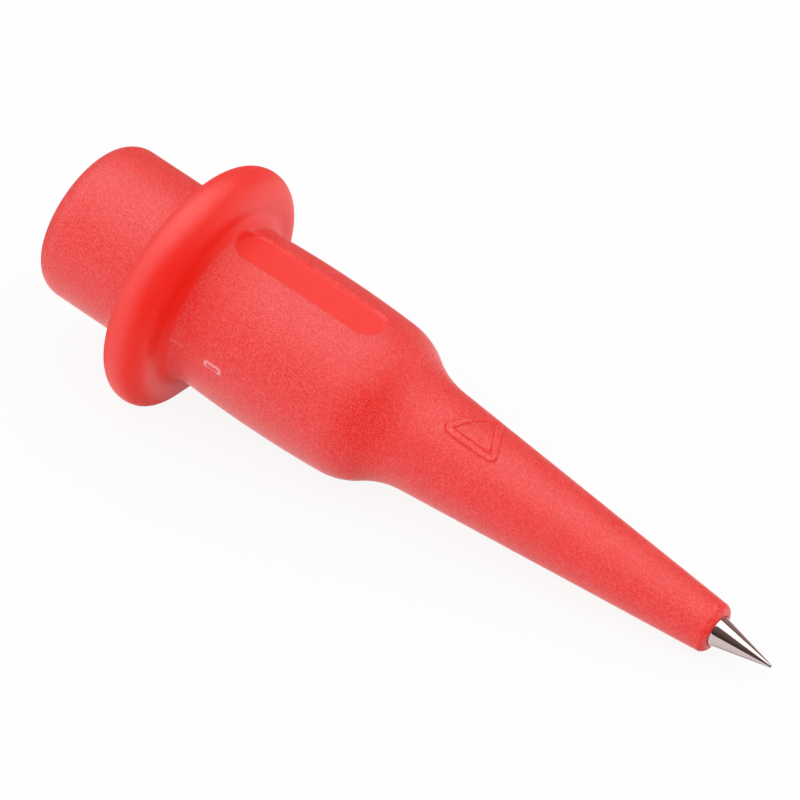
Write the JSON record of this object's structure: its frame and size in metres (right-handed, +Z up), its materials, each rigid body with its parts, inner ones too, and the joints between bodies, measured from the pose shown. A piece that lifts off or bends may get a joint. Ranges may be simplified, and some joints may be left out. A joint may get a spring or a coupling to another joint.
{
  "type": "test probe",
  "caption": "Push-on test probe: moulded handle with a round finger guard and a slim tapered nose, a conical needle tip, and a shrouded plug socket in its rear sleeve.",
  "frame": {"origin": "centre of the mouth plane of the rear sleeve, on the axis of the probe", "axes": "+X along the axis from the mouth to the needle's point, +Z up through the recessed panel and away from the flat of the finger guard, Y across"},
  "size_m": [0.0597, 0.019, 0.0173],
  "materials": {
    "handle_moulding": "spark-eroded satin, moulded polyamide",
    "core_moulding": "moulded polyamide",
    "contact_metal": "turned, nickel-plated",
    "needle_metal": "ground and polished"
  },
  "bodies": {
    "root": {"handle": "handle_moulding", "socket_core": "core_moulding", "socket_contact": "contact_metal", "needle": "needle_metal"}
  },
  "joints": []
}
